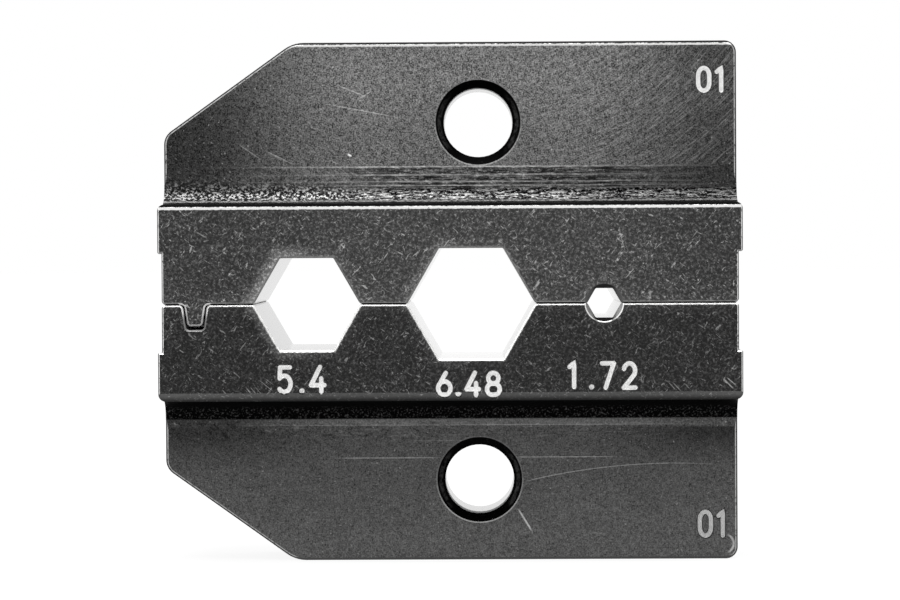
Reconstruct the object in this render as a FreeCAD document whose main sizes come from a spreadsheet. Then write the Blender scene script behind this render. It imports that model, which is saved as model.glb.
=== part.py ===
import FreeCAD, Part
import math
import os
import Sketcher

# A matched pair of crimp dies for a hand crimping tool: two blocks of hardened steel that
# close on each other along a parting plane. Each one is a T in section, a thick head with
# the working faces and a thinner web that is bolted between the plates of the tool's jaw.
# Millimetres. X runs across the dies, Z along the closing stroke and Y through their
# thickness. The origin is the middle of the parting plane, with the dies closed.

sizes = {
    # head
    "head_width": 34.25,  # across the side pads
    "head_depth": 12.0,  # front face to back face
    "upper_head": 5.88,  # parting plane to shoulder seat
    "lower_head": 5.70,
    "pad_height": 2.9,  # side pads, from the shoulder seat
    "side_relief": 0.24,  # the sides stand back by this next to the parting plane
    "shoulder_corner": 0.4,
    "pad_corner": 0.12,
    "parting_corner": 0.25,
    "upper_bevel": 0.18,  # bevel of the shoulder edges, front and back
    "lower_bevel": 0.5,
    "edge_break": 0.1,  # small bevel round the working profile
    # web
    "web_width": 34.0,
    "web_thickness": 6.0,
    "web_height": 9.6,  # shoulder seat to end face
    "web_lap": 0.8,  # the web starts this far inside the head, so that the two are one block
    "cut_width": 7.7,  # corner cut away, so that a die goes in only one way round
    "cut_height": 5.5,
    "cut_side_corner": 1.0,  # roundings at its two ends
    "cut_end_corner": 2.0,
    "web_corner": 0.7,
    "web_edge": 0.15,
    "cove_radius": 1.2,  # between web and shoulder seat
    "undercut_depth": 0.08,  # shallow relief in the web's faces beside the cove
    "undercut_run": 0.6,  # its sloping exit
    # bolt bore through the web
    "bore_diameter": 4.1,
    "bore_bevel": 0.48,
    "bore_place": 1.68,
    "bore_from_seat": 4.82,
    # six-sided nests: size across flats, and place across the die
    "left_nest": 5.4,
    "left_place": -8.38,
    "middle_nest": 6.48,
    "middle_place": 1.24,
    "right_nest": 1.72,
    "right_place": 9.02,
    "nest_corner": 0.12,
    "lip_radius": 0.3,  # rounded lips where the nests open at the parting plane
    "sink_diameter": 2.26,  # round countersink at both mouths of the right nest
    # guide tongue of the upper die, and the groove that takes it
    "tongue_inset": 1.935,  # its middle, from the head's relieved side
    "tongue_root": 1.24,
    "tongue_tip": 0.88,
    "tongue_height": 1.25,
    "tongue_rounding": 0.24,
    "tongue_play": 0.1,  # each side
    "tongue_gap": 0.22,  # under the tip
    "groove_mouth": 0.3,
    "groove_corner": 0.2,
}

doc = FreeCAD.newDocument("CrimpDies")
sheet = doc.addObject("Spreadsheet::Sheet", "Sizes")
for row, (alias, number) in enumerate(sizes.items(), start=1):
    sheet.set(f"A{row}", alias.replace("_", " "))
    sheet.set(f"B{row}", str(number))
    sheet.setAlias(f"B{row}", alias)
doc.recompute()


def measure(expression):
    """Value of an expression over the sheet."""
    return float(sheet.evalExpression(expression))


def new_sketch(body, name, role):
    """Empty sketch on one of the body's own origin planes."""
    sketch = body.newObject("Sketcher::SketchObject", name)
    plane = next(item for item in body.Origin.OriginFeatures if item.Role == role)
    sketch.AttachmentSupport = (plane, "")
    sketch.MapMode = "FlatFace"
    return sketch


def place_point(sketch, line, end, across, along):
    """Binds one end of a line to its two coordinates; "0" puts it on an axis."""
    for kind, axis, expression in (("DistanceX", -2, across), ("DistanceY", -1, along)):
        if expression == "0":
            sketch.addConstraint(Sketcher.Constraint("PointOnObject", line, end, axis))
        elif expression:
            constraint = Sketcher.Constraint(kind, -1, 1, line, end, measure(expression))
            number = sketch.addConstraint(constraint)
            sketch.setExpression(f"Constraints[{number}]", expression)


def point_at(across, along):
    """Point of a sketch at two expressions."""
    return FreeCAD.Vector(measure(across), measure(along), 0)


def draw_side(sketch, start, finish, centre):
    """Line or arc from start to finish. Returns it with the numbers of its two ends."""
    if centre is None:
        return sketch.addGeometry(Part.LineSegment(start, finish)), 1, 2
    spoke = start - centre
    turn = (finish - centre).getAngle(spoke)
    anticlockwise = spoke.cross(finish - centre).z > 0
    first = math.atan2(spoke.y, spoke.x) if anticlockwise else math.atan2(spoke.y, spoke.x) - turn
    circle = Part.Circle(centre, FreeCAD.Vector(0, 0, 1), spoke.Length)
    arc = sketch.addGeometry(Part.ArcOfCircle(circle, first, first + turn))
    return (arc, 1, 2) if anticlockwise else (arc, 2, 1)


def draw_loop(sketch, corners, centres={}):
    """Closed loop through corners, each a pair of expressions. The side that leaves the
    corner with a number in centres is an arc about that centre."""
    points = [point_at(*corner) for corner in corners]
    sides = []
    for number, (start, finish) in enumerate(zip(points, points[1:] + points[:1])):
        centre = point_at(*centres[number]) if number in centres else None
        sides.append(draw_side(sketch, start, finish, centre))
    for (line, _, end), (following, start, _) in zip(sides, sides[1:] + sides[:1]):
        sketch.addConstraint(Sketcher.Constraint("Coincident", line, end, following, start))
    for number, (line, start, _) in enumerate(sides):
        place_point(sketch, line, start, *corners[number])
        if number in centres:
            place_point(sketch, line, 3, centres[number][0], "")


def mirrored(corners):
    """The loop on the other side of the sketch's vertical axis."""
    return [(f"-({across})", along) for across, along in corners]


def pad(body, name, sketch, length):
    """Solid as long as length, half of it on each side of the sketch."""
    feature = body.newObject("PartDesign::Pad", name)
    feature.Profile = sketch
    feature.SideType = "Symmetric"
    feature.setExpression("Length", length)
    doc.recompute()
    return feature


def pocket(body, name, sketch):
    """Cut right through the die, both ways from the sketch. It has to take something away."""
    before = body.Shape.Volume
    feature = body.newObject("PartDesign::Pocket", name)
    feature.Profile = sketch
    feature.SideType = "Symmetric"
    feature.Type = "ThroughAll"
    doc.recompute()
    if body.Shape.Volume >= before:
        raise RuntimeError(f"{name} cuts nothing")
    return feature


def edges_through(body, places):
    """Edges parallel to Y that pass through the given places, pairs of expressions."""
    spots = [(measure(across), measure(along)) for across, along in places]
    names = []
    for number, edge in enumerate(body.Tip.Shape.Edges, start=1):
        box = edge.BoundBox
        thin = box.XLength < 1e-5 and box.ZLength < 1e-5
        if thin and any(abs(box.XMin - x) < 1e-4 and abs(box.ZMin - z) < 1e-4 for x, z in spots):
            names.append(f"Edge{number}")
    return names


def face_edges(body, side, distance, wanted):
    """Edges on the planes y = distance and y = -distance for which wanted(near, far) is true,
    where near and far say how far from the parting plane an edge begins and ends."""
    names = []
    for number, edge in enumerate(body.Tip.Shape.Edges, start=1):
        box = edge.BoundBox
        near, far = sorted((side * box.ZMin, side * box.ZMax))
        flat = box.YLength < 1e-5 and abs(abs(box.YMin) - distance) < 1e-4
        if flat and wanted(near, far):
            names.append(f"Edge{number}")
    return names


def dress(body, kind, name, edges, size_name, expression):
    """Fillet or chamfer on named edges of the body's last feature."""
    base = body.Tip
    feature = body.newObject(f"PartDesign::{kind}", name)
    feature.Base = (base, edges)
    feature.setExpression(size_name, expression)
    doc.recompute()
    return feature


def fillet(body, name, places, radius):
    """Rounds the edges parallel to Y at the given places."""
    return dress(body, "Fillet", name, edges_through(body, places), "Radius", radius)


def make_head(body, side, seat, bevel):
    """Thick plate with side pads, rounded corners and bevelled shoulder edges."""
    half = "Sizes.head_width / 2"
    relieved = "Sizes.head_width / 2 - Sizes.side_relief"
    shoulder = f"{side} * {seat}"
    pad_end = f"{side} * ({seat} - Sizes.pad_height)"
    right = [(relieved, "0"), (relieved, pad_end), (half, pad_end), (half, shoulder)]
    sketch = new_sketch(body, "HeadOutline", "XZ_Plane")
    draw_loop(sketch, right + mirrored(right)[::-1])
    pad(body, "Head", sketch, "Sizes.head_depth")
    face = "Sizes.head_depth / 2"
    corner = [(half, face), (f"{half} - Sizes.edge_break", face), (half, f"{face} - Sizes.edge_break")]
    turned = [(across, f"-({along})") for across, along in corner]
    sketch = new_sketch(body, "PadEdgeSection", "XY_Plane")
    for wedge in (corner, turned, mirrored(corner), mirrored(turned)):
        draw_loop(sketch, wedge)
    pocket(body, "PadEdges", sketch)
    fillet(body, "ShoulderCorners", [right[3], mirrored(right)[3]], "Sizes.shoulder_corner")
    fillet(body, "PadCorners", [right[2], mirrored(right)[2]], "Sizes.pad_corner")
    fillet(body, "PartingCorners", [right[0], mirrored(right)[0]], "Sizes.parting_corner")
    bevel_start = f"{side} * ({seat} - {bevel})"
    wedge = [(face, shoulder), (f"{face} - {bevel}", shoulder), (face, bevel_start)]
    sketch = new_sketch(body, "ShoulderBevelSection", "YZ_Plane")
    draw_loop(sketch, wedge)
    draw_loop(sketch, mirrored(wedge))
    pocket(body, "ShoulderBevels", sketch)


def nest_corners(nest, place):
    """Hexagon with flats above and below and its side corners on the parting plane."""
    corner = f"{nest} / sqrt(3)"
    flat = f"{nest} / 2"
    return [
        (f"{place} + {corner}", "0"),
        (f"{place} + {corner} / 2", flat),
        (f"{place} - {corner} / 2", flat),
        (f"{place} - {corner}", "0"),
        (f"{place} - {corner} / 2", f"-{flat}"),
        (f"{place} + {corner} / 2", f"-{flat}"),
    ]


def make_large_nests(body):
    """This die's halves of the two large nests, with rounded lips."""
    nests = [nest_corners(f"Sizes.{name}_nest", f"Sizes.{name}_place") for name in ("left", "middle")]
    sketch = new_sketch(body, "LargeNestOutlines", "XZ_Plane")
    for corners in nests:
        draw_loop(sketch, corners)
    pocket(body, "LargeNests", sketch)
    inner = [corners[number] for corners in nests for number in (1, 2, 4, 5)]
    fillet(body, "LargeNestCorners", inner, "Sizes.nest_corner")
    lips = [corners[number] for corners in nests for number in (0, 3)]
    fillet(body, "LargeNestLips", lips, "Sizes.lip_radius")


def make_small_nest(body):
    """This die's half of the small nest, with a countersink of 90 degrees at each mouth."""
    corners = nest_corners("Sizes.right_nest", "Sizes.right_place")
    sketch = new_sketch(body, "SmallNestOutline", "XZ_Plane")
    draw_loop(sketch, corners)
    pocket(body, "SmallNest", sketch)
    fillet(body, "SmallNestCorners", corners, "Sizes.nest_corner")

    axis = "Sizes.right_place"
    rim = "Sizes.sink_diameter / 2"
    face = "Sizes.head_depth / 2"
    front = [(axis, f"-{face}"), (f"{axis} + {rim}", f"-{face}"), (axis, f"-{face} + {rim}")]
    back = [(axis, face), (f"{axis} + {rim}", face), (axis, f"{face} - {rim}")]
    sketch = new_sketch(body, "CountersinkSection", "XY_Plane")
    draw_loop(sketch, front)
    draw_loop(sketch, back)
    start = FreeCAD.Vector(measure(axis), 0, 0)
    finish = FreeCAD.Vector(measure(axis), measure(face), 0)
    line = sketch.addGeometry(Part.LineSegment(start, finish), True)
    place_point(sketch, line, 1, axis, "0")
    place_point(sketch, line, 2, axis, face)
    before = body.Shape.Volume
    groove = body.newObject("PartDesign::Groove", "Countersinks")
    groove.Profile = sketch
    groove.ReferenceAxis = (sketch, ["Axis0"])
    groove.Angle = 360
    doc.recompute()
    if body.Shape.Volume >= before:
        raise RuntimeError("the countersinks cut nothing")


def tongue_corners(play, gap):
    """The tongue's outline, or with play and gap the groove's, which has the same slope."""
    slope = "(Sizes.tongue_root - Sizes.tongue_tip) / 2 / Sizes.tongue_height"
    mouth = f"(Sizes.tongue_root / 2 + {play})"
    floor = f"(Sizes.tongue_tip / 2 + {play} - {gap} * {slope})"
    depth = f"-(Sizes.tongue_height + {gap})"
    place = "(Sizes.side_relief + Sizes.tongue_inset - Sizes.head_width / 2)"
    return [
        (f"{place} - {mouth}", "0"),
        (f"{place} - {floor}", depth),
        (f"{place} + {floor}", depth),
        (f"{place} + {mouth}", "0"),
    ]


def make_tongue(body):
    """Tongue below the parting plane, rounded at its root and its tip."""
    corners = tongue_corners("0", "0")
    sketch = new_sketch(body, "TongueOutline", "XZ_Plane")
    draw_loop(sketch, corners)
    pad(body, "Tongue", sketch, "Sizes.head_depth")
    fillet(body, "TongueRounding", corners, "Sizes.tongue_rounding")


def make_groove(body):
    """Groove with the tongue's shape and some play, with a rounded mouth."""
    corners = tongue_corners("Sizes.tongue_play", "Sizes.tongue_gap")
    sketch = new_sketch(body, "GrooveOutline", "XZ_Plane")
    draw_loop(sketch, corners)
    pocket(body, "Groove", sketch)
    fillet(body, "GrooveMouth", [corners[0], corners[3]], "Sizes.groove_mouth")
    fillet(body, "GrooveFloor", [corners[1], corners[2]], "Sizes.groove_corner")


def break_edges(body, side, seat):
    """Small bevel round the working profile, on the head's front and back faces."""
    pad_end = measure(f"{seat} - Sizes.pad_height")
    distance = measure("Sizes.head_depth / 2")
    edges = face_edges(body, side, distance, lambda near, far: far < pad_end + 1e-4)
    dress(body, "Chamfer", "WorkingEdges", edges, "Size", "Sizes.edge_break")


def make_web(body, side, seat):
    """Plate with one corner cut away, its corners rounded and its edges bevelled."""
    half = "Sizes.web_width / 2"
    start = f"{side} * ({seat} - Sizes.web_lap)"
    end = f"{side} * ({seat} + Sizes.web_height)"
    cut_start = f"{side} * ({seat} + Sizes.web_height - Sizes.cut_height)"
    corners = [
        (f"-{half}", start),
        (f"-{half}", cut_start),
        (f"-{half} + Sizes.cut_width", end),
        (half, end),
        (half, start),
    ]
    sketch = new_sketch(body, "WebOutline", "XZ_Plane")
    draw_loop(sketch, corners)
    pad(body, "Web", sketch, "Sizes.web_thickness")
    fillet(body, "CutSideCorner", corners[1:2], "Sizes.cut_side_corner")
    fillet(body, "CutEndCorner", corners[2:3], "Sizes.cut_end_corner")
    fillet(body, "WebCorner", corners[3:4], "Sizes.web_corner")
    distance = measure("Sizes.web_thickness / 2")
    edges = face_edges(body, side, distance, lambda near, far: far > measure(seat) + 1e-4)
    dress(body, "Chamfer", "WebEdges", edges, "Size", "Sizes.web_edge")


def make_cove(body, side, seat):
    """Shallow undercut in the web's faces, and the cove that leads into the shoulder seat."""
    face = "Sizes.web_thickness / 2"
    sunk = "Sizes.web_thickness / 2 - Sizes.undercut_depth"
    foot = f"{sunk} + Sizes.cove_radius"
    shoulder = f"{side} * {seat}"
    cove_end = f"{side} * ({seat} + Sizes.cove_radius)"
    run_out = f"{side} * ({seat} + Sizes.cove_radius + Sizes.undercut_run)"
    undercut = [(sunk, shoulder), (sunk, cove_end), (face, run_out), (foot, run_out), (foot, shoulder)]
    sketch = new_sketch(body, "UndercutSection", "YZ_Plane")
    draw_loop(sketch, undercut)
    draw_loop(sketch, mirrored(undercut))
    pocket(body, "Undercuts", sketch)

    core = f"{sunk} - Sizes.web_lap"
    inside = f"{side} * ({seat} - Sizes.web_lap)"
    cove = [(foot, inside), (foot, shoulder), (sunk, cove_end), (core, cove_end), (core, inside)]
    centre = (foot, cove_end)
    sketch = new_sketch(body, "CoveSection", "YZ_Plane")
    draw_loop(sketch, cove, {1: centre})
    draw_loop(sketch, mirrored(cove), {1: mirrored([centre])[0]})
    pad(body, "Coves", sketch, "Sizes.web_width")


def make_bore(body, side, seat):
    """Bolt bore through the web, bevelled at both mouths."""
    height = f"{side} * ({seat} + Sizes.bore_from_seat)"
    sketch = new_sketch(body, "BoreOutline", "XZ_Plane")
    radius = measure("Sizes.bore_diameter / 2")
    centre = point_at("Sizes.bore_place", height)
    circle = sketch.addGeometry(Part.Circle(centre, FreeCAD.Vector(0, 0, 1), radius))
    place_point(sketch, circle, 3, "Sizes.bore_place", height)
    number = sketch.addConstraint(Sketcher.Constraint("Diameter", circle, 2 * radius))
    sketch.setExpression(f"Constraints[{number}]", "Sizes.bore_diameter")
    pocket(body, "Bore", sketch)
    rims = []
    for number, edge in enumerate(body.Tip.Shape.Edges, start=1):
        curve = edge.Curve
        if isinstance(curve, Part.Circle) and edge.isClosed() and abs(curve.Radius - radius) < 1e-4:
            rims.append(f"Edge{number}")
    dress(body, "Chamfer", "BoreBevels", rims, "Size", "Sizes.bore_bevel")


def make_die(label, side, seat, bevel, guide):
    """One die half. side is 1 above the parting plane and -1 below it."""
    body = doc.addObject("PartDesign::Body", label)
    body.Label = label
    body.Placement = FreeCAD.Placement(FreeCAD.Vector(0, 0, 0), FreeCAD.Rotation())
    make_head(body, side, seat, bevel)
    make_large_nests(body)
    guide(body)
    break_edges(body, side, seat)
    make_small_nest(body)
    make_web(body, side, seat)
    make_cove(body, side, seat)
    make_bore(body, side, seat)
    return body


dies = [
    make_die("upper_die", 1, "Sizes.upper_head", "Sizes.upper_bevel", make_tongue),
    make_die("lower_die", -1, "Sizes.lower_head", "Sizes.lower_bevel", make_groove),
]

doc.recompute()
for item in doc.Objects:
    if {"Invalid", "Error"} & set(item.State):
        raise RuntimeError(f"{item.Name} has failed: {item.State}")
for die in dies:
    if die.Shape.isNull() or not die.Shape.isValid() or len(die.Shape.Solids) != 1:
        raise RuntimeError(f"{die.Label} isn't one sound solid")

os.makedirs("parts", exist_ok=True)
for die in dies:
    die.Shape.exportStep(f"parts/{die.Label}.step")
    print(die.Label, round(die.Shape.Volume, 2), "mm3", len(die.Shape.Faces), "faces")
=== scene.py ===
import math

import bmesh
import bpy
import numpy as np
from mathutils import Matrix, Vector


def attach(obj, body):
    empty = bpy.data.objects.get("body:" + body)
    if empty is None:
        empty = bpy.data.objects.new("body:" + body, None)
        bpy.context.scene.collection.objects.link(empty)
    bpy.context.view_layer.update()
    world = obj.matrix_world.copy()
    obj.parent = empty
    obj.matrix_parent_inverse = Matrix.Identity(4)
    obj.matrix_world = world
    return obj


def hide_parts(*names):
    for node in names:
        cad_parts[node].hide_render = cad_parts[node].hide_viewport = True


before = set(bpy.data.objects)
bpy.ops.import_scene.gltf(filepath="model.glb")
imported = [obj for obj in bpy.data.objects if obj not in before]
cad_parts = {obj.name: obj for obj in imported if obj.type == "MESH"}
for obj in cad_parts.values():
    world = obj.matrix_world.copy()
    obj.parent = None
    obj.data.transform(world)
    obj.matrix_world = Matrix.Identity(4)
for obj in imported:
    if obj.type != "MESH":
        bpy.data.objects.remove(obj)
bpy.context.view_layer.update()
print("frame loaded:", sorted(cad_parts))

mm = 0.001  # metres in a millimetre


# A number that comes out of a node. Sums on it add Math nodes to the same material.
class Value:
    def __init__(self, tree, socket=None):
        self.tree = tree
        self.socket = socket

    # Adds any node: its type, its settings, then the values or links of its sockets.
    def node(self, kind, settings=None, inputs=None, output=0):
        made = self.tree.nodes.new(kind)
        for name, item in (settings or {}).items():
            setattr(made, name, item)
        for name, item in (inputs or {}).items():
            if isinstance(item, Value):
                self.tree.links.new(item.socket, made.inputs[name])
            else:
                made.inputs[name].default_value = item
        return Value(self.tree, made.outputs[output] if made.outputs else None)

    def maths(self, operation, *items):
        return self.node("ShaderNodeMath", {"operation": operation}, dict(enumerate(items)))

    def __add__(self, other): return self.maths("ADD", self, other)
    def __sub__(self, other): return self.maths("SUBTRACT", self, other)
    def __rsub__(self, other): return self.maths("SUBTRACT", other, self)
    def __mul__(self, other): return self.maths("MULTIPLY", self, other)
    def __pow__(self, other): return self.maths("POWER", self, other)
    def __abs__(self): return self.maths("ABSOLUTE", self)
    __radd__ = __add__
    __rmul__ = __mul__

    def atMost(self, other): return self.maths("MINIMUM", self, other)
    def atLeast(self, other): return self.maths("MAXIMUM", self, other)

    # 0 at the first number and 1 at the second, with a soft start and end.
    def ramp(self, start, end):
        ends = {"From Min": start, "From Max": end, "To Min": 0.0, "To Max": 1.0}
        if start > end:
            ends = {"From Min": end, "From Max": start, "To Min": 1.0, "To Max": 0.0}
        return self.node(
            "ShaderNodeMapRange", {"interpolation_type": "SMOOTHSTEP"}, {"Value": self, **ends})

    # 1 within half a width of the middle, fading over the blur.
    def band(self, middle, width, blur):
        return abs(self - middle).ramp(width / 2 + blur, width / 2)

    # This value where the mask is 0, the other where it is 1.
    def towards(self, other, mask):
        return self + (other - self) * mask


# Coordinates in millimetres and the surface's direction, both of the object itself.
class Surface:
    def __init__(self, tree):
        place = Value(tree).node("ShaderNodeTexCoord", output="Object")
        scale = {0: place, "Scale": 1 / mm}
        self.place = place.node("ShaderNodeVectorMath", {"operation": "SCALE"}, scale)
        self.x, self.y, self.z = self.split(self.place)
        facing = place.node("ShaderNodeTexCoord", output="Normal")
        self.nx, self.ny, self.nz = self.split(facing)

    # The three numbers of a vector.
    @staticmethod
    def split(vector):
        return [vector.node("ShaderNodeSeparateXYZ", None, {0: vector}, n) for n in range(3)]

    # Noise with so many grains to the millimetre, stretched and turned about Y.
    def noise(self, scale, detail=2.0, rough=0.6, bend=0.0, stretch=(1, 1, 1), turn=0.0, shift=0.0,
              place=None):
        if place is None:
            place = self.place.node("ShaderNodeMapping", {"vector_type": "TEXTURE"}, {
                0: self.place, "Location": (shift, shift, shift), "Rotation": (0, turn, 0),
                "Scale": tuple(1 / along for along in stretch)})
        return self.place.node("ShaderNodeTexNoise", None, {
            "Vector": place, "Scale": scale, "Detail": detail, "Roughness": rough,
            "Distortion": bend})

    # Distance from a point, along the front face.
    def reach(self, x, z):
        return ((self.x - x) ** 2.0 + (self.z - z) ** 2.0) ** 0.5

    # A thin ring about a point, fading from half its width out to the blur.
    def ring(self, x, z, radius, half, blur):
        return abs(self.reach(x, z) - radius).ramp(blur, half)

    # Distance outside a six-sided nest, by its centre and its size across flats.
    def outside(self, centre, flats):
        slant = abs(self.x - centre) * (math.sqrt(3) / 2) + abs(self.z) * 0.5
        return slant.atLeast(abs(self.z)) - flats / 2

    # A scratch: near the line between two points of the face, thinning towards its ends.
    def scratch(self, x0, z0, x1, z1, width):
        length = math.hypot(x1 - x0, z1 - z0)
        ux, uz = (x1 - x0) / length, (z1 - z0) / length
        along = (self.x - x0) * ux + (self.z - z0) * uz
        across = abs((self.z - z0) * ux - (self.x - x0) * uz)
        fading = along.ramp(0.0, length * 0.25) * along.ramp(length, length * 0.7)
        return across.ramp(width, width * 0.35) * fading


# Sizes in mm that both dies share, as the solids have them.
form = {
    "headFace": 6.0,  # from the middle of the thickness
    "webFace": 3.0,
    "sideStart": 16.70,  # further out than this, only the head's side edges
    "webEdge": 0.15,
    "bore": 2.05,  # radius
    "boreMouth": 2.53,  # radius of its bevel at the web's face
    "sink": 1.13,  # radius of the small nest's countersinks
    "tongue": -14.95,
    "nests": {  # centre and size across flats
        "left": (-8.38, 5.4), "middle": (1.24, 6.48), "right": (9.02, 1.72),
    },
}

# The steel of both dies. Tones run from 0, black, to 1, white.
steel = {
    # darkest tone: the black oxide, and painted shade in the coves, the bore bevels, the upper
    # shoulder bevel and the line between the dies
    "oxideAndShade": 0.001,
    "brightest": 0.97,
    "polishedBoreAndReflection": 0.55,
    "groundNestAndReflection": 0.47,
    "ledge": 0.7,  # times the head's own tone
    "wornShoulderAndHighlight": 0.95,
    "wornEndAndHighlight": 0.85,
    "dust": {  # paler round a nest: on all its sides, and more on the left
        "left": (0.045, 0.17), "middle": (0.020, 0.03), "right": (0.020, 0.03),
    },
    "rough": 0.36,
    "grainRough": 0.16,  # added by the grain
    "borePolish": 0.22,  # taken off in the bores
    "nestPolish": 0.6,  # share taken off in the nests
    "bump": 0.3,
    "nestBump": 0.28,  # taken off in the nests
    "bumpHeight": 0.03,  # mm
}

# Depths are distances from the parting plane, in mm. A scratch is its two ends, its width and
# its strength.
upperDie = {
    "side": 1,
    "seat": 5.88,  # depth of the shoulder
    "end": 15.48,  # depth of the web's end
    "bore": (1.68, 10.70),  # its centre
    "shoulderBevel": 0.18,
    "head": 0.068,  # tone of the head's faces
    "headGrain": 7.0,  # contrast of the speckle
    "headMiddle": 0.24,  # how much paler the head is away from its ends
    "flecks": 0.32,  # their strength
    "halo": (0.9, 1.0),  # worn places round the nests: width and strength
    "webGrain": 7.4,
    "webGlints": 0.24,
    "webEndEdge": 0.012,  # tone of the bevel at the web's end
    # worn edges with painted light: dim on this die, whose edges face down
    "partingEdgeWearAndLight": 0.26,  # tone of the worn edges of the nests and the parting plane
    "partingGap": (0.075, 0.045),  # the black line between the dies fades from one to the other
    # painted light: dim here, where the countersink faces down
    "sunk": (0.03, 0.10),  # tones of the small countersink: floor, and more at its sides
    "streakRelief": 0.3,  # height of the streaks beside the shoulder
    "millCentre": (1.9, 25.6),  # the cutter's arcs run round this point
    "stripEnd": 8.10,  # up to this depth the web shows straight passes
    # painted shade in the cove
    "cove": (6.86, 6.72),  # it darkens from one depth to the other
    "frayedCove": (7.55, 6.55),  # the same at its left
    "passes": [  # depth, width, blur, strength
        (8.08, 0.04, 0.05, 0.20), (7.60, 0.05, 0.05, 0.12),
        (7.20, 0.03, 0.05, 0.16), (6.97, 0.03, 0.04, 0.16),
    ],
    "scratches": [
        (-6.7, 12.95, -4.8, 12.2, 0.06, 0.26), (-7.6, 11.9, -3.6, 11.1, 0.04, 0.22),
        (-5.6, 12.0, -4.6, 12.6, 0.06, 0.22), (-5.9, 11.6, -2.6, 10.9, 0.04, 0.16),
        (-6.1, 8.85, -5.8, 8.72, 0.08, 0.9), (-12.6, 9.5, -11.0, 8.4, 0.05, 0.16),
        (-11.0, 9.1, -9.2, 8.2, 0.05, 0.2), (2.9, 12.6, 3.6, 12.4, 0.06, 0.2),
        (-14.9, 4.3, -14.2, 3.9, 0.05, 0.2), (9.9, 4.3, 10.3, 2.8, 0.04, 0.2),
    ],
}
lowerDie = {
    "side": -1,
    "seat": 5.70,
    "end": 15.30,
    "bore": (1.68, -10.52),
    "shoulderBevel": 0.50,
    "head": 0.042,
    "headGrain": 6.5,
    "headMiddle": 0.05,
    "flecks": 0.19,
    "halo": (0.7, 0.5),
    "webGrain": 4.6,
    "webGlints": 0.14,
    "webEndEdge": 0.06,
    # worn edges with a painted highlight: bright on this die, whose edges face up
    "partingEdgeWearAndLight": 0.95,
    "partingGap": (0.03, 0.01),
    # painted light: paler sides here, where the countersink faces up
    "sunk": (0.008, 0.3),
    "streakRelief": 0.03,
    # painted shade fills the cove between these depths, and the rim below it is a painted highlight
    "cove": (6.93, 6.86),
    "rim": (7.10, 0.26, 0.12),  # pale band beside the cove: depth, width, blur
    "toolArc": (13.25, -47.6, 38.0, 0.01, 0.04),  # centre, radius, half width, blur
    "wornCorner": (16.2, -14.4, 0.55, 0.02, 0.1),
    "faintRings": [  # the same, and strength
        (-4.9, -15.25, 1.45, 0.01, 0.05, 0.03), (8.6, -15.6, 1.85, 0.01, 0.07, 0.025),
    ],
    "scratches": [
        (-12.0, -4.82, -11.5, -5.46, 0.04, 0.2), (-11.75, -4.80, -11.2, -5.46, 0.03, 0.2),
        (-11.5, -4.75, -10.95, -5.4, 0.03, 0.15), (-14.86, -5.11, -14.3, -5.5, 0.04, 0.2),
        (-13.4, -4.95, -12.95, -5.46, 0.04, 0.2), (-11.24, -4.4, -10.3, -5.15, 0.03, 0.2),
        (-10.9, -4.3, -10.3, -4.75, 0.03, 0.15), (15.9, -4.41, 16.6, -5.11, 0.05, 0.3),
        (16.1, -4.35, 16.75, -4.9, 0.04, 0.3), (12.97, -4.64, 13.5, -5.2, 0.04, 0.2),
        (12.7, -4.6, 13.2, -5.15, 0.03, 0.2), (-7.4, -9.22, 0.1, -9.22, 0.035, 0.2),
        (3.0, -9.20, 10.4, -9.20, 0.035, 0.2), (3.9, -12.2, 4.85, -13.75, 0.07, 0.4),
        (-3.0, -8.2, 2.5, -8.2, 0.03, 0.07),
    ],
}


# The distances, masks and noises that every part of a blackened die's surface uses.
class DieSurface(Surface):
    def __init__(self, tree, die):
        super().__init__(tree)
        self.upper = die["side"] > 0
        self.seat = die["seat"]
        self.depth = self.z * die["side"]  # from the parting plane
        self.thick = abs(self.y)  # from the middle of the thickness
        self.front = self.y.ramp(0.5, -0.5)
        self.bevel = abs(self.ny).band(0.707, 0.3, 0.08)  # faces that lean 45 degrees
        self.onHead = self.thick.ramp(form["headFace"] - 0.60, form["headFace"] - 0.55)
        self.onWeb = self.thick.band(form["webFace"], 0.1, 0.05)
        self.middle = self.x.ramp(-15.5, -6.0) * self.x.ramp(17.5, 8.0)  # away from both ends
        self.grain = self.noise(6.2, 3.0, 0.72)
        self.fine = self.noise(12.0, 1.0, 0.5, shift=7.0)
        self.cloud = self.noise(0.9, 2.0, 0.5, shift=3.0)
        self.ragged = self.noise(4.0, 3.0, 0.7, shift=2.0)
        self.streaks = self.noise(1.0, 2.0, 0.62, stretch=(0.55, 0.5, 9.0), shift=5.0)
        self.dashes = self.noise(1.0, 2.0, 0.7, stretch=(3.2, 0.8, 12.0), shift=9.0)
        self.flecks = self.fleckMask() * die["flecks"]

    # Short bright marks: curls, and ticks that lie two ways.
    def fleckMask(self):
        curls = self.noise(3.4, 3.0, 0.62, bend=1.6, shift=11.0)
        tick = {"scale": 4.6, "bend": 0.9, "stretch": (0.45, 1, 1.5)}
        ticks = self.noise(**tick, turn=0.6, shift=19.0)
        cross = self.noise(**tick, turn=-0.9, shift=23.0)
        return curls.ramp(0.60, 0.70) * 0.6 + ticks.ramp(0.64, 0.72) + cross.ramp(0.64, 0.72)


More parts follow.
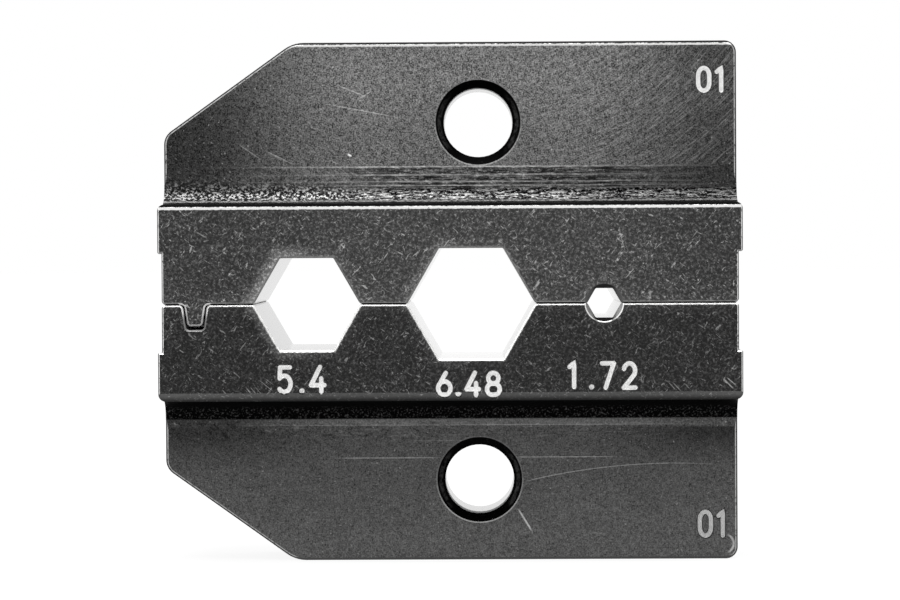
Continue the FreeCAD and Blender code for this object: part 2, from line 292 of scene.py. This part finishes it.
# Head faces: coarse speckle and flecks, paler round the nests and along the parting plane.
def headTone(s, die):
    speckle = (s.grain * 0.8 + s.fine * 0.2 - 0.44) * die["headGrain"]
    grit = 0.60 + speckle.atLeast(0.0) ** 1.6
    paler = s.x.ramp(-14.0, -5.0) * s.x.ramp(16.0, 9.0) * die["headMiddle"]
    head = grit * die["head"] * (0.8 + s.cloud * 0.4) * (0.92 + paler) + s.flecks
    width, strength = die["halo"]
    halo = abs(s.z).ramp(0.9, 0.0) * 0.012
    for nest, (centre, flats) in form["nests"].items():
        near = s.outside(centre, flats).ramp(width, 0.0)
        leftHalf = s.x.ramp(centre + 0.5, centre - 0.8)
        dust, leftDust = steel["dust"][nest]
        halo = halo + near * (dust + leftHalf * leftDust) * strength
    return head + halo * grit


# Web faces: finer grain with a few glints, dimmer towards both ends and the shoulder.
def webTone(s, die):
    speck = (1.0 + (s.grain * 0.5 + s.fine * 0.5 - 0.5) * die["webGrain"]).atLeast(0.2)
    if s.upper:
        web = 0.20 * (0.25 + s.x.ramp(-16.0, -5.0) * 0.75) * (0.38 + s.x.ramp(17.0, 7.0) * 0.62)
        web = web * (0.76 + s.depth.ramp(9.0, 14.0) * 0.24)
    else:
        mottle = s.cloud * 0.6 + s.noise(2.2, 3.0, 0.6, shift=29.0) * 0.4
        web = (0.084 + s.depth.ramp(10.0, 14.0) * 0.014) * (0.76 + mottle * 0.48)
        atRight = (0.12 + s.x.ramp(6.0, 16.0) * 0.5) * s.depth.ramp(7.3, 7.5)
        atLeft = s.x.ramp(-6.0, -14.0) * 0.45
        web = web * (1.0 - s.depth.ramp(10.4, 7.4) * (atRight + atLeft))
    glints = s.noise(6.5, 1.0, 0.5, shift=31.0).ramp(0.66, 0.78) * die["webGlints"]
    return web * speck + glints


# Arcs of the milling cutter: noise along and across circles about a far centre.
def millingArcs(s, die, tone):
    x, z = die["millCentre"]
    turn = (s.x - x).maths("ARCTAN2", s.x - x, z - s.z)
    polar = turn.node("ShaderNodeCombineXYZ", None, {
        0: turn * 14.0, 1: s.reach(x, z) * 15.0 + s.cloud * 2.0, 2: s.thick})
    arcs = s.noise(0.9, place=polar)
    atRight = s.x.ramp(1.0, 9.0)
    pale = atRight * 0.11 + s.x.ramp(-2.0, -6.0) * s.x.ramp(-13.0, -9.0) * 0.03
    beyond = s.depth.ramp(7.9, 8.6)
    tone = tone + arcs.ramp(0.50, 0.72) * pale * beyond
    return tone * (1.0 - arcs.ramp(0.46, 0.30) * 0.35 * atRight * beyond)


# Upper web beside the shoulder: straight passes of the cutter, then the cove, painted dark as shade
# with painted glints on it.
def upperStrip(s, die, tone, head):
    dull = 1.0 - s.x.ramp(3.0, 10.0) * 0.3
    left = s.x.ramp(-2.0, -9.0)
    right = s.x.ramp(9.0, 16.0)
    strip = s.depth.ramp(die["stripEnd"] + 0.05, die["stripEnd"] - 0.05)
    coarse = s.streaks.ramp(0.42, 0.68) * 0.6 + s.dashes.ramp(0.50, 0.72) * 0.8
    fanned = s.noise(5.0, 2.0, 0.7, stretch=(0.5, 1, 1.4), turn=0.5, shift=37.0).ramp(0.52, 0.72)
    coarse = coarse.towards(fanned, s.x.ramp(-4.0, -10.0) * 0.8)
    coarse = coarse * (0.4 + (s.grain * 0.5 + s.fine * 0.5).ramp(0.36, 0.62) * 1.1)
    milled = 0.008 + coarse * dull * (0.05 + s.middle * 0.24)
    tone = tone.towards(milled, strip * (0.92 - left * 0.80 - right * 0.5))
    tone = tone + fanned * strip * left * 0.07

    hairs = s.noise(2.4, stretch=(0.5, 1, 3.6), turn=0.5, shift=41.0).ramp(0.60, 0.70)
    where = s.x.ramp(-14.0, -9.0) * s.x.ramp(1.0, -3.0) * s.depth.ramp(12.6, 9.5) * s.front
    tone = tone + hairs * where * (0.4 + s.grain) * 0.10

    strong = s.middle + s.x.ramp(-9.0, -3.0) * s.x.ramp(9.0, 2.0) * 0.8
    broken = (0.35 + s.dashes.ramp(0.34, 0.55) * 0.65) * strong
    for depth, width, blur, strength in die["passes"]:
        tone = tone + s.depth.band(depth, width, blur) * strength * broken

    frayed = (s.depth + (s.ragged - 0.5) * 1.6).ramp(*die["frayedCove"])
    cove = s.depth.ramp(*die["cove"]).towards(frayed, left)
    glitter = s.noise(7.0, 2.0, 0.7, stretch=(0.8, 1, 1.1), shift=13.0).ramp(0.48, 0.64)
    lashes = s.noise(1.0, 2.0, 0.7, stretch=(1.6, 0.8, 11.0), shift=15.0).ramp(0.50, 0.66)
    lashes = lashes * 0.85 + glitter * s.dashes.ramp(0.4, 0.6)
    sparkle = glitter.towards(lashes, s.x.ramp(-9.0, -3.0) * 0.85)
    sparkle = sparkle * dull * (0.20 + left * 0.12 + s.middle * 0.14)
    cove = cove * s.depth.ramp(s.seat - 0.02, s.seat + 0.02)
    # painted shade: the cove takes the darkest tone, and its sparkle is painted glints
    tone = tone.towards(steel["oxideAndShade"] + left * 0.008 + sparkle, cove)

    # a bright line and a black one where the web meets the shoulder: a painted highlight and
    # painted shade
    tone = tone.towards(0.40 * s.dashes.ramp(0.30, 0.6), s.depth.band(6.05, 0.06, 0.03))
    tone = tone * (1.0 - s.depth.band(s.seat - 0.01, 0.22, 0.02) * 0.995)
    return tone.towards(head, s.depth.ramp(s.seat - 0.05, s.seat - 0.10))


# Lower web beside the shoulder: the cove painted black as shade, a pale rim painted as a highlight,
# nicks and what tools left.
def lowerStrip(s, die, tone):
    onFront = s.onWeb * s.front
    # painted shade: the cove under the shoulder is set near black, with faint specks
    cove = s.depth.ramp(*die["cove"]) * s.depth.ramp(s.seat - 0.02, s.seat + 0.02)
    specks = s.noise(9.0, shift=17.0).ramp(0.52, 0.72) * 0.04
    tone = tone.towards(0.0012 + specks * s.depth.ramp(6.0, 6.4), cove)
    # painted highlight: a pale band beside the cove and a thin bright line at 7.27 mm, where the
    # cove turns to the front
    rim = s.depth.band(*die["rim"]) * (0.02 + s.streaks * 0.06)
    tone = tone + (rim + s.depth.band(7.27, 0.02, 0.03) * 0.08) * s.middle
    below = s.depth.ramp(8.9, 7.6) * s.depth.ramp(6.95, 7.05) * onFront
    tone = tone + below * s.streaks.ramp(0.52, 0.68) * s.middle * 0.035
    nicks = s.noise(3.6, 3.0, 0.65, bend=0.8, stretch=(0.5, 1, 1.3), turn=0.3, shift=43.0)
    where = below * s.x.ramp(8.0, -2.0)
    tone = tone + nicks.ramp(0.60, 0.72) * where * 0.07
    tone = tone * (1.0 - nicks.ramp(0.46, 0.34) * where * 0.5)

    traces = s.ring(*die["toolArc"]) * s.x.ramp(4.3, 4.8) * s.x.ramp(17.0, 12.0) * 0.15
    traces = traces + s.ring(*die["wornCorner"]) * s.x.ramp(16.3, 16.6) * 0.3
    for *ring, strength in die["faintRings"]:
        traces = traces + s.ring(*ring) * strength
    return tone + traces * onFront * (0.5 + s.grain)


# Edges of the working profile: worn bright in part and painted as a highlight, brighter on the
# lower die, whose edges face up, with a black line of painted shade at the parting plane.
def partingEdges(s, die, tone):
    tongue = abs(s.x - form["tongue"])
    besideTongue = tongue.ramp(0.85, 0.95) if s.upper else 1.0
    awayFromNests = 1.0
    for nest in ("left", "middle"):
        awayFromNests = s.outside(*form["nests"][nest]).ramp(0.10, 0.17) * awayFromNests
    joint = abs(s.z).ramp(0.16, 0.12) * besideTongue
    brink = (1.0 - awayFromNests * (1.0 - joint)) * abs(s.ny).ramp(0.8, 0.9)
    brink = brink * s.ragged.ramp(0.35, 0.6) * 0.6
    wornAndLit = (s.bevel * s.depth.ramp(s.seat - 0.55, s.seat - 0.60) + brink).atMost(1.0)
    if s.upper:
        bright = die["partingEdgeWearAndLight"] + tongue.ramp(1.0, 0.9) * 0.45
    else:
        inGroove = tongue.ramp(1.3, 1.2) * s.depth.ramp(0.3, 0.9)
        bright = die["partingEdgeWearAndLight"] * (1.0 - inGroove * 0.75)
    tone = tone.towards((0.55 + s.ragged * 0.9) * bright, wornAndLit * s.onHead)
    # painted shade: a black line on the bevels where the two dies meet
    gap = s.bevel * s.onHead * abs(s.z).ramp(*die["partingGap"])
    return tone.towards(steel["oxideAndShade"], gap * besideTongue)


# Bevels of the shoulder, of the head's sides and of the web's outline.
def outerEdges(s, die, tone):
    bevelStart = s.seat - die["shoulderBevel"]
    shoulder = s.bevel * s.onHead * s.depth.ramp(bevelStart - 0.03, bevelStart)
    # painted shade: the upper die's shoulder bevel takes the darkest tone. The lower die's is paler
    # than its face, darkening towards the seat.
    onShoulder = steel["oxideAndShade"]
    if not s.upper:
        paleBevel = (0.5 + s.grain) * 0.10 + s.flecks
        onShoulder = paleBevel * (0.2 + s.depth.ramp(s.seat, s.seat - 0.40) * 0.8)
    tone = tone.towards(onShoulder, shoulder)

    # painted highlight: a thin ragged bright line along the arris of the head's side bevels and of
    # the web's outline
    thin = s.ragged.ramp(0.3, 0.5)
    atSide = s.bevel * s.onHead * abs(s.nx).ramp(0.5, 0.65)
    atSide = atSide * abs(s.x).ramp(form["sideStart"], form["sideStart"] + 0.05)
    arris = s.thick.ramp(form["headFace"] - 0.07, form["headFace"] - 0.03)
    tone = tone.towards(arris * thin * 0.6 + 0.01, atSide)

    webFace, webEdge = form["webFace"], form["webEdge"]
    outline = s.bevel * s.thick.band(webFace - 0.08, 0.18, 0.02)
    outline = outline * s.depth.ramp(s.seat + 1.0, s.seat + 1.2)
    endEdge = s.depth.ramp(die["end"] - webEdge - 0.10, die["end"] - webEdge)
    arris = s.thick.ramp(webFace - 0.09, webFace - 0.04)
    tone = tone.towards(arris * thin * 0.35 + 0.02, outline * (1.0 - endEdge))
    tone = tone.towards(die["webEndEdge"], outline * endEdge)

    # the upper die's shoulder and end are worn through to a ragged bright line, also a painted
    # highlight on these upward-facing edges
    if s.upper:
        wornAndLit = s.ragged + s.grain * 0.5 - 0.25
        wander = s.depth + (s.ragged - 0.5) * 0.12
        line = wander.band(bevelStart - 0.07, 0.11, 0.04)
        line = line * s.thick.ramp(form["headFace"] - 0.03, form["headFace"] - 0.01)
        tone = tone.towards(wornAndLit.ramp(0.16, 0.36) * steel["wornShoulderAndHighlight"], line)
        line = wander.band(die["end"] - webEdge - 0.05, 0.075, 0.04) * s.onWeb
        line = line * s.x.ramp(-9.6, -8.6)
        tone = tone.towards(wornAndLit.ramp(0.13, 0.40) * steel["wornEndAndHighlight"], line)
    return tone


# Bore: bevel and front of the wall in painted shade, a thin rim with a painted highlight on its
# lower half, and the wall polished by the bolt, pale only on its rear part as a painted reflection.
# Also gives the wall's mask.
def boreTone(s, die, tone):
    x, z = die["bore"]
    mouth = form["boreMouth"]
    reach = s.reach(x, z)
    inWeb = s.depth.ramp(s.seat + 1.5, s.seat + 2.0)
    # painted shade: the bevel, and the bore inside it, are set near black
    bevel = reach.ramp(mouth + 0.03, mouth - 0.03) * inWeb
    tone = tone.towards(0.002 + s.grain.ramp(0.66, 0.74) * 0.05, bevel)
    beside = abs(s.x - x).ramp(1.4, 2.2) * reach.band(2.30, 0.14, 0.07) * inWeb
    tone = tone + beside * s.ragged.ramp(0.35, 0.65) * 0.05
    # painted highlight: a thin bright rim round the mouth, strongest on its lower half, which faces
    # up
    rim = reach.band(mouth + 0.025, 0.035, 0.035)
    rim = rim * s.thick.ramp(form["webFace"] - 0.15, form["webFace"] - 0.05)
    lowerHalf = s.z.ramp(z + 1.0, z - 2.5)
    tone = tone + rim * (0.05 + lowerHalf * 0.25) * (0.4 + s.ragged)
    # painted reflection: only the rear part of the wall takes the pale tone
    wall = reach.ramp(form["bore"] + 0.03, form["bore"] + 0.01) * inWeb * s.y.ramp(-1.5, -1.1)
    return tone.towards(steel["polishedBoreAndReflection"], wall), wall


# Nests: ground walls, their pale tone partly a painted reflection, and turned countersinks at the
# small one with painted light on their sides. Also gives the walls' mask.
def nestTone(s, die, tone):
    steep = abs(s.ny).ramp(0.3, 0.1) * s.depth.ramp(3.6, 3.3) * s.depth.ramp(-0.5, -0.3)
    ground = 0.0
    for centre, flats in form["nests"].values():
        ground = s.outside(centre, flats).ramp(0.09, 0.06) * steep + ground
    # paler on the middle and right nests, and as painted light on walls that face straight up or
    # down
    paler = s.x.ramp(-6.0, -4.0) * 0.30 + abs(s.nz).ramp(0.8, 0.95) * 0.15
    tone = tone.towards(steel["groundNestAndReflection"] + paler, ground)

    centre = form["nests"]["right"][0]
    reach = s.reach(centre, 0.0)
    sides = abs(s.x - centre).ramp(0.45, 0.8)
    sunk = reach.ramp(form["sink"] + 0.01, form["sink"] - 0.02)
    sunk = sunk * abs(s.ny).ramp(0.2, 0.3) * abs(s.ny).ramp(0.95, 0.9)
    # painted light: the countersink's sides are paler than its floor, much more on the lower die,
    # where its cone faces up
    floor, more = die["sunk"]
    tone = tone.towards(floor + sides * more, sunk)
    if not s.upper:
        # painted highlight: a bright crescent on the lower die's countersink rim
        crescent = abs(s.x - centre).ramp(0.55, 0.3).atLeast(sides)
        rim = reach.band(form["sink"] - 0.01, 0.04, 0.03) * s.onHead
        tone = tone.towards(0.9, rim * crescent)
    return tone, ground.atMost(1.0)


def emptyMaterial(name):
    material = bpy.data.materials.new(name)
    material.use_nodes = True
    material.node_tree.nodes.clear()
    return material


# Ends a steel's nodes. Its tone runs from black to a slightly warm white.
def steelShader(s, tone, metallic, rough, relief, bump, bumpHeight):
    colour = s.place.node("ShaderNodeMix", {"data_type": "RGBA"}, {
        0: tone, 6: (0.0, 0.0, 0.0, 1.0), 7: (1.0, 0.997, 0.99, 1.0)}, 2)
    normal = s.place.node("ShaderNodeBump", None, {
        "Strength": bump, "Distance": bumpHeight * mm, "Height": relief})
    shader = s.place.node("ShaderNodeBsdfPrincipled", None, {
        "Base Color": colour, "Metallic": metallic, "Roughness": rough, "Normal": normal})
    s.place.node("ShaderNodeOutputMaterial", None, {"Surface": shader})


# Black oxide on milled steel, rubbed to grey on the flat faces. Coves and bore bevels are
# painted black as shade. Edges and nests are worn or ground to bright steel, partly painted
# highlights and reflections.
def blackenedSteel(name, die):
    material = emptyMaterial(name)
    s = DieSurface(material.node_tree, die)
    head = headTone(s, die)
    tone = head.towards(webTone(s, die), s.depth.ramp(s.seat - 0.05, s.seat + 0.05))
    if s.upper:
        tone = millingArcs(s, die, tone)
        tone = upperStrip(s, die, tone, head)
    else:
        tone = lowerStrip(s, die, tone)
    ledge = abs(s.nz).ramp(0.93, 0.98) * s.depth.band(s.seat, 0.05, 0.02)
    tone = tone.towards(head * steel["ledge"], ledge)
    for *line, strength in die["scratches"]:
        tone = tone + s.scratch(*line) * s.front * strength * (0.4 + s.grain)
    tone = partingEdges(s, die, tone)
    tone = outerEdges(s, die, tone)
    tone, wall = boreTone(s, die, tone)
    tone, polish = nestTone(s, die, tone)
    tone = tone.atLeast(steel["oxideAndShade"]).atMost(steel["brightest"])
    rough = steel["rough"] + s.grain * steel["grainRough"] - wall * steel["borePolish"]
    rough = rough * (1.0 - polish * steel["nestPolish"])
    streaks = s.streaks * s.depth.ramp(8.4, 7.8) * die["streakRelief"]
    relief = s.grain * 0.6 + s.fine * 0.25 + streaks
    bump = steel["bump"] - polish * steel["nestBump"]
    steelShader(s, tone, 1.0, rough, relief, bump, steel["bumpHeight"])
    print(name, "made,", len(material.node_tree.nodes), "nodes")
    return material


# Strokes of each figure: runs of points on a field 1 wide and 1 high. A curve is a part of an
# ellipse, given as ("arc", centre, radii, first angle, last angle) in degrees.
figures = {
    "0": [[("arc", (0.5, 0.66), (0.5, 0.34), 0, 180), ("arc", (0.5, 0.34), (0.5, 0.34), 180, 360),
           (1, 0.66)]],
    "1": [[(0.08, 0.83), (0.45, 1.0), (0.45, 0.0)]],
    "2": [[("arc", (0.5, 0.70), (0.48, 0.30), 165, -35), (0.02, 0.0)], [(0.02, 0.0), (1.0, 0.0)]],
    "4": [[(0.68, 1.0), (0.0, 0.27)], [(0.0, 0.27), (1.0, 0.27)], [(0.77, 0.54), (0.77, 0.0)]],
    "5": [[(0.92, 1.0), (0.12, 1.0)], [(0.12, 1.0), (0.08, 0.56)],
          [("arc", (0.46, 0.33), (0.52, 0.33), 136, -140)]],
    "6": [[("arc", (0.5, 0.31), (0.5, 0.31), 0, 360)], [(0.03, 0.40), (0.62, 1.0)]],
    "7": [[(0.0, 1.0), (1.0, 1.0)], [(1.0, 1.0), (0.30, 0.0)]],
    "8": [[("arc", (0.5, 0.76), (0.40, 0.24), 0, 360)],
          [("arc", (0.5, 0.27), (0.5, 0.27), 0, 360)]],
}

# Each mark is a figure, the place of its lower left corner in mm, and its width and height.
marks = {
    "nose": 0.190,  # radius of the cutter that ran along the strokes
    "dot": 0.220,
    "sink": 0.035,  # its centre runs this far outside the face
    "bend": 5.20,  # the lower head's face ends here, and the cutter follows its bevel
    "spacing": 0.1,  # between points on straight strokes
    "arcStep": 12,  # degrees between points on curves
    "lower_die": [
        ("5", -10.06, -5.13, 0.71, 1.44), (".", -8.70, -5.07), ("4", -8.17, -5.13, 0.78, 1.45),
        ("6", -0.72, -5.35, 0.72, 1.29), (".", 0.45, -5.30), ("4", 0.94, -5.37, 0.72, 1.31),
        ("8", 2.14, -5.38, 0.74, 1.31),
        ("1", 6.92, -4.91, 0.70, 1.41), (".", 8.26, -4.92), ("7", 8.88, -4.96, 0.68, 1.42),
        ("2", 10.13, -4.97, 0.69, 1.42),
        ("0", 14.75, -13.93, 0.66, 1.42), ("1", 15.80, -13.93, 0.70, 1.42),
    ],
    "upper_die": [("0", 14.75, 12.51, 0.66, 1.34), ("1", 15.80, 12.51, 0.70, 1.34)],
}


# Points of one run in mm: even angles round an ellipse on curves, and even steps on its
# straight parts.
def strokePoints(run, x, z, width, height):
    points = []
    for item in run:
        if item[0] == "arc":
            _, (cx, cz), (rx, rz), first, last = item
            steps = max(3, int(abs(last - first) / marks["arcStep"]) + 1)
            turn = np.radians(np.linspace(first, last, steps))
            points.append(np.column_stack([cx + rx * np.cos(turn), cz + rz * np.sin(turn)]))
        elif points:
            last = points[-1][-1]
            length = np.hypot(*((np.array(item) - last) * (width, height)))
            steps = max(2, int(length / marks["spacing"]) + 1)
            points.append(np.linspace(last, item, steps)[1:])
        else:
            points.append(np.array([item], float))
    return np.vstack(points) * (width, height) + (x, z)


# A round-nosed bar along the points: rings about each point, square to the path, and three
# shrinking rings beyond each end for its nose. All rings are one array of points.
def bar(points, radius, y, bend, sides=20):
    if len(points) == 1:  # a dot is a bar of next to no length
        points = np.array([points[0] - (0.004, 0), points[0] + (0.004, 0)])
    steps = np.diff(points, axis=0)
    steps /= np.linalg.norm(steps, axis=1)[:, None]
    heading = np.vstack([steps[:1], steps[:-1] + steps[1:], steps[-1:]])
    heading /= np.linalg.norm(heading, axis=1)[:, None]
    lean = np.clip((heading * np.vstack([steps[:1], steps])).sum(1), 0.6, 1)  # wider at a turn
    nose = np.radians([75.0, 50.0, 25.0])
    start = points[0] - heading[0] * radius * np.sin(nose)[:, None]
    finish = points[-1] + heading[-1] * radius * np.sin(nose)[::-1][:, None]
    centre = np.vstack([start, points, finish])
    size = np.concatenate([np.cos(nose), 1 / lean, np.cos(nose)[::-1]]) * radius
    ways = np.vstack([np.repeat(heading[:1], 3, 0), heading, np.repeat(heading[-1:], 3, 0)])
    across = np.column_stack([-ways[:, 1], ways[:, 0]])
    angle = np.linspace(0, 2 * np.pi, sides, endpoint=False) + 0.1
    flat = centre[:, None, :] + across[:, None, :] * (size[:, None] * np.cos(angle))[:, :, None]
    deep = np.minimum(size, radius)[:, None] * np.sin(angle)[None, :]
    level = y + np.maximum(0.0, -flat[:, :, 1] - bend) if bend else y
    spots = np.dstack([flat[:, :, 0], level + deep, flat[:, :, 1]]).reshape(-1, 3)
    rows = len(centre)
    a = np.arange((rows - 1) * sides).reshape(rows - 1, sides)
    quads = np.dstack([a, a + sides, np.roll(a, -1, 1) + sides, np.roll(a, -1, 1)]).reshape(-1, 4)
    caps = [list(range(sides)), list(range((rows - 1) * sides, rows * sides))[::-1]]
    return spots, quads.tolist() + caps


cutFinish = {
    # darkest tone: oxide, and painted shade on the steep rims of the figures
    "oxideAndShade": 0.002,
    "tone": 0.52,
    "grain": 0.46,
    "brightest": 0.98,
    "lowerWebDull": 0.4,  # share of the tone taken off there
    "metallic": 0.3,
    "rough": 0.5,
    "bump": 0.3,
    "bumpHeight": 0.02,  # mm
}


# Bare steel at the bottom of the cut figures. Their steep rims are painted dark as shade, as the
# tone falls when a face turns away from the front.
def cutSteel():
    material = emptyMaterial("cutSteel")
    s = Surface(material.node_tree)
    grain = s.noise(6.0, 3.0, 0.7)
    bend = -marks["bend"]
    onBevel = s.z.ramp(bend + 0.02, bend - 0.02) * s.z.ramp(-6.0, -5.9)
    facing = abs(s.ny).towards(abs(s.ny + s.nz) * math.sqrt(0.5), onBevel)
    dull = s.z.ramp(-11.0, -12.0) * cutFinish["lowerWebDull"]
    # painted shade: faces that turn away from the front darken to the darkest tone
    bare = facing.ramp(0.62, 0.82) * (cutFinish["tone"] + grain * cutFinish["grain"])
    tone = (cutFinish["oxideAndShade"] + bare * (1.0 - dull)).atMost(cutFinish["brightest"])
    steelShader(s, tone, cutFinish["metallic"], cutFinish["rough"], grain,
                cutFinish["bump"], cutFinish["bumpHeight"])
    print("cutSteel made")
    return material


sameSpot = 1e-7  # metres between points that are merged
sharpFrom = math.radians(31)  # edges that turn by more than this stay sharp


# A mesh with its doubles merged and without the normals stored with it.
def mergedCopy(name, source):
    shape = bmesh.new()
    shape.from_mesh(source)
    bmesh.ops.remove_doubles(shape, verts=shape.verts, dist=sameSpot)
    plain = bpy.data.meshes.new(name)
    shape.to_mesh(plain)
    shape.free()
    stored = [item.name for item in plain.attributes]
    for layer in stored:
        if "normal" in layer or "sharp" in layer:
            plain.attributes.remove(plain.attributes[layer])
    return plain


# Every bar of a die's figures in one mesh, with its faces pointing outwards.
def figureCutter(node):
    spots, sides, count = [], [], 0
    for figure, x, z, *size in marks[node]:
        onHead = abs(z) < marks["bend"] + 0.5
        face, bend = (form["headFace"], marks["bend"]) if onHead else (form["webFace"], 0.0)
        radius = marks["nose"] if size else marks["dot"]
        for run in figures.get(figure, [[(0.0, 0.0)]]):
            points = strokePoints(run, x, z, *(size or (1, 1)))
            part, walls = bar(points, radius, -face - marks["sink"], bend)
            spots.append(part)
            sides += [[n + count for n in wall] for wall in walls]
            count += len(part)
    cutter = bpy.data.meshes.new("cutter")
    cutter.from_pydata((np.vstack(spots) * mm).tolist(), [], sides)
    shape = bmesh.new()
    shape.from_mesh(cutter)
    bmesh.ops.recalc_face_normals(shape, faces=shape.faces)
    shape.to_mesh(cutter)
    shape.free()
    return cutter


def linked(item):
    bpy.context.scene.collection.objects.link(item)
    return item


# A copy of a die with its figures cut into the front face.
def engravedDie(node, outside, cutFace):
    piece = linked(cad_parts[node].copy())
    piece.name = node + "_finished"
    piece.parent = None
    piece.data = mergedCopy(piece.name, piece.data)
    piece.data.materials.append(outside)
    piece.data.materials.append(cutFace)
    cutter = linked(bpy.data.objects.new("cutter", figureCutter(node)))
    cutter.data.materials.append(cutFace)
    cut = piece.modifiers.new("figures", "BOOLEAN")
    cut.object = cutter
    cut.operation = "DIFFERENCE"
    cut.solver = "EXACT"
    cut.use_self = True
    cut.material_mode = "TRANSFER"
    bpy.context.view_layer.update()
    seen = piece.evaluated_get(bpy.context.evaluated_depsgraph_get())
    engraved = bpy.data.meshes.new_from_object(seen)
    piece.modifiers.clear()
    piece.data = engraved
    bpy.data.objects.remove(cutter)
    piece.data.shade_smooth()
    piece.data.set_sharp_from_angle(angle=sharpFrom)
    even = piece.modifiers.new("flat faces stay flat", "WEIGHTED_NORMAL")
    even.keep_sharp = True
    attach(piece, node)
    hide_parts(node)
    print(piece.name, len(piece.data.polygons), "faces")


bareSteel = cutSteel()
engravedDie("upper_die", blackenedSteel("upperBlackenedSteel", upperDie), bareSteel)
engravedDie("lower_die", blackenedSteel("lowerBlackenedSteel", lowerDie), bareSteel)

studio = {
    "eye": (2.33, -191.0, 3.43),  # mm
    "aim": (0.0, -6.0, 0.21),
    "view": 52.63,  # mm across the picture, at the head's front face
    "roll": -0.3,  # degrees
    "sensor": 36.0,
    "floor": -15.30,
    "floorHalf": 2000.0,
    "floorGlow": 0.88,  # how much of the floor is plain white to the camera
    "sky": {"all": 0.62, "behind": 0.38, "above": 0.3, "sides": 0.7},  # strength from each way
    "lamps": {  # place, size, power in watts
        "overhead": ((0, -60, 260), (260, 160), 0.55),
        "left": ((-260, -120, 120), (160, 160), 0.12),
    },
}


def lightPath(start, name):
    return start.node("ShaderNodeLightPath", output=name)


# White to the camera and in reflections, but it still takes the dies' shadow.
def floorMaterial():
    material = emptyMaterial("paleFloor")
    start = Value(material.node_tree)
    seen = lightPath(start, "Is Camera Ray").atLeast(lightPath(start, "Is Glossy Ray"))
    seen = seen.atLeast(lightPath(start, "Is Transmission Ray"))
    lit = start.node("ShaderNodeBsdfDiffuse", None, {"Color": (1, 1, 1, 1)})
    white = start.node("ShaderNodeEmission", None, {"Color": (1, 1, 1, 1), "Strength": 1.0})
    mixed = start.node("ShaderNodeMixShader", None, {
        0: seen * studio["floorGlow"], 1: lit, 2: white})
    start.node("ShaderNodeOutputMaterial", None, {"Surface": mixed})
    return material


ground = bpy.data.meshes.new("floor")
half, level = studio["floorHalf"] * mm, studio["floor"] * mm
corners = [(-half, -half, level), (half, -half, level), (half, half, level), (-half, half, level)]
ground.from_pydata(corners, [], [(0, 1, 2, 3)])
ground.materials.append(floorMaterial())
floor = linked(bpy.data.objects.new("floor", ground))

# White all round for the camera. Light on the dies comes mostly from above and behind.
world = bpy.data.worlds.new("studio")
bpy.context.scene.world = world
world.use_nodes = True
world.node_tree.nodes.clear()
start = Value(world.node_tree)
wayX, wayY, wayZ = Surface.split(start.node("ShaderNodeTexCoord", output="Generated"))
sky = studio["sky"]
strength = sky["all"] + wayY.ramp(-0.1, 0.35) * sky["behind"]
strength = strength + wayZ.ramp(0.1, 0.9) * sky["above"]
strength = strength + abs(wayX).ramp(0.45, 0.9) * sky["sides"]
strength = strength.towards(1.0, lightPath(start, "Is Camera Ray"))
background = start.node("ShaderNodeBackground", None, {"Color": (1, 1, 1, 1), "Strength": strength})
start.node("ShaderNodeOutputWorld", None, {"Surface": background})

for name, (place, size, power) in studio["lamps"].items():
    lamp = bpy.data.lights.new(name, "AREA")
    lamp.shape = "RECTANGLE"
    lamp.size, lamp.size_y = size[0] * mm, size[1] * mm
    lamp.energy = power
    held = linked(bpy.data.objects.new(name, lamp))
    held.location = Vector(place) * mm
    held.rotation_euler = (-held.location).to_track_quat("-Z", "Y").to_euler()
print("floor, world and", len(studio["lamps"]), "lamps placed")

eye, aim = Vector(studio["eye"]) * mm, Vector(studio["aim"]) * mm
camera = bpy.data.cameras.new("camera")
camera.sensor_width = studio["sensor"]
camera.lens = studio["sensor"] * (eye - aim).length / (studio["view"] * mm)
camera.clip_start, camera.clip_end = 0.01, 10.0
held = linked(bpy.data.objects.new("camera", camera))
held.location = eye
turned = (aim - eye).to_track_quat("-Z", "Y").to_matrix()
roll = math.radians(studio["roll"])
held.rotation_euler = (turned @ Matrix.Rotation(roll, 3, "Z")).to_euler()
bpy.context.scene.camera = held
bpy.context.scene.view_settings.view_transform = "Standard"
print("camera placed")
